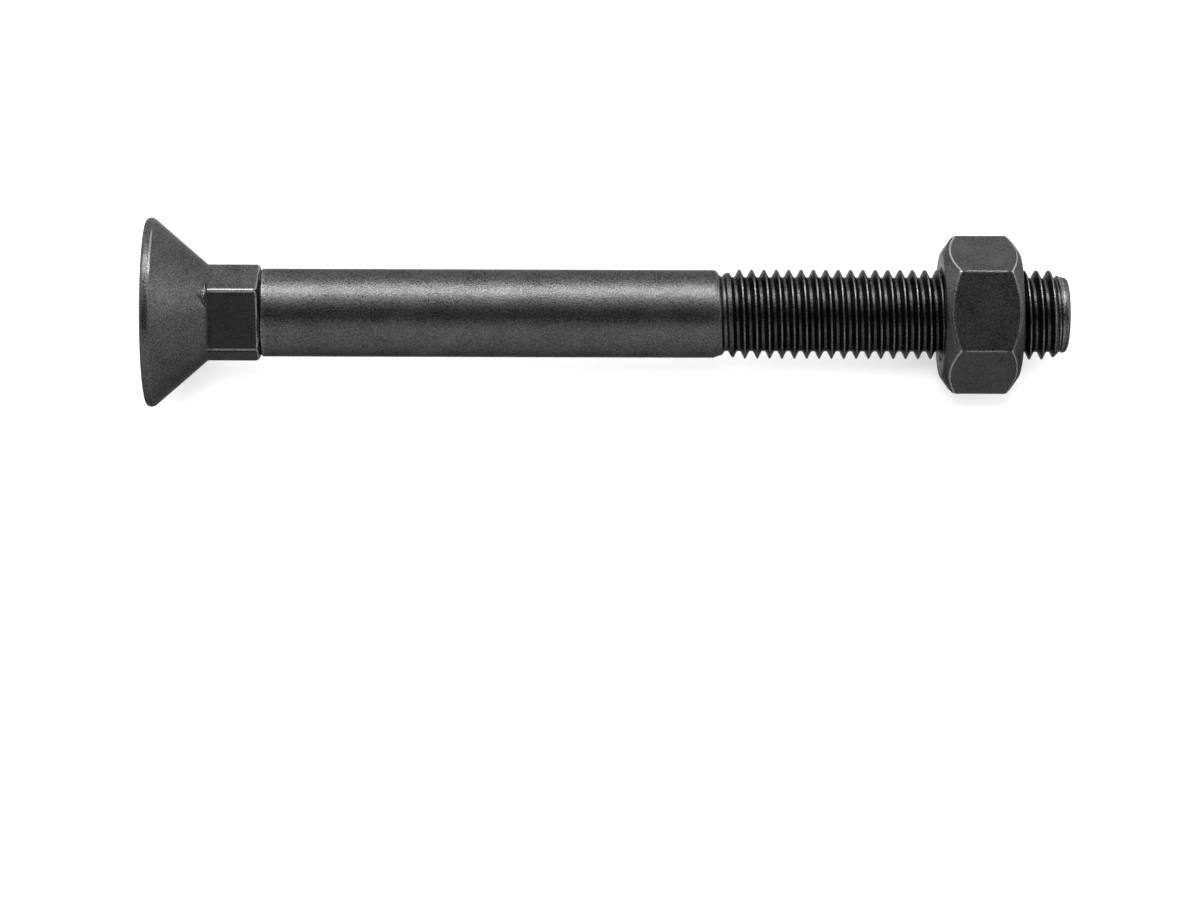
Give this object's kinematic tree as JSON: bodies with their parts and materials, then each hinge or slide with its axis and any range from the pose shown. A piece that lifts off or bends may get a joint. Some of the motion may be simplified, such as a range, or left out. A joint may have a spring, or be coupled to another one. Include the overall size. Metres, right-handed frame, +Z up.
{
  "type": "plow bolt with hex nut",
  "caption": "Countersunk flat-head bolt with a square neck, a plain shank and a coarse right-hand thread that carries a hexagon nut.",
  "frame": {"origin": "bottom centre of the part as it lies on a floor, on the rim of its head and one corner edge of its nut", "axes": "+Z up; +X along the bolt from the head to the point, which dips 1.72 degrees below the floor's level; +Y to the left of one who looks from the head towards the point"},
  "size_m": [0.1864, 0.0382, 0.0382],
  "materials": {
    "bolt_steel": "dark oiled forging skin, worn bright along the crests and edges",
    "nut_steel": "dark oiled skin, worn bright along the edges"
  },
  "bodies": {
    "bolt": {"plow_bolt": "bolt_steel"},
    "nut": {"hex_nut": "nut_steel"}
  },
  "joints": [
    {"name": "nut_travel", "type": "slide", "parent": "bolt", "child": "nut", "axis": [0.9996, 0, -0.03], "range_m": [-0.0425, 0.0225]}
  ]
}
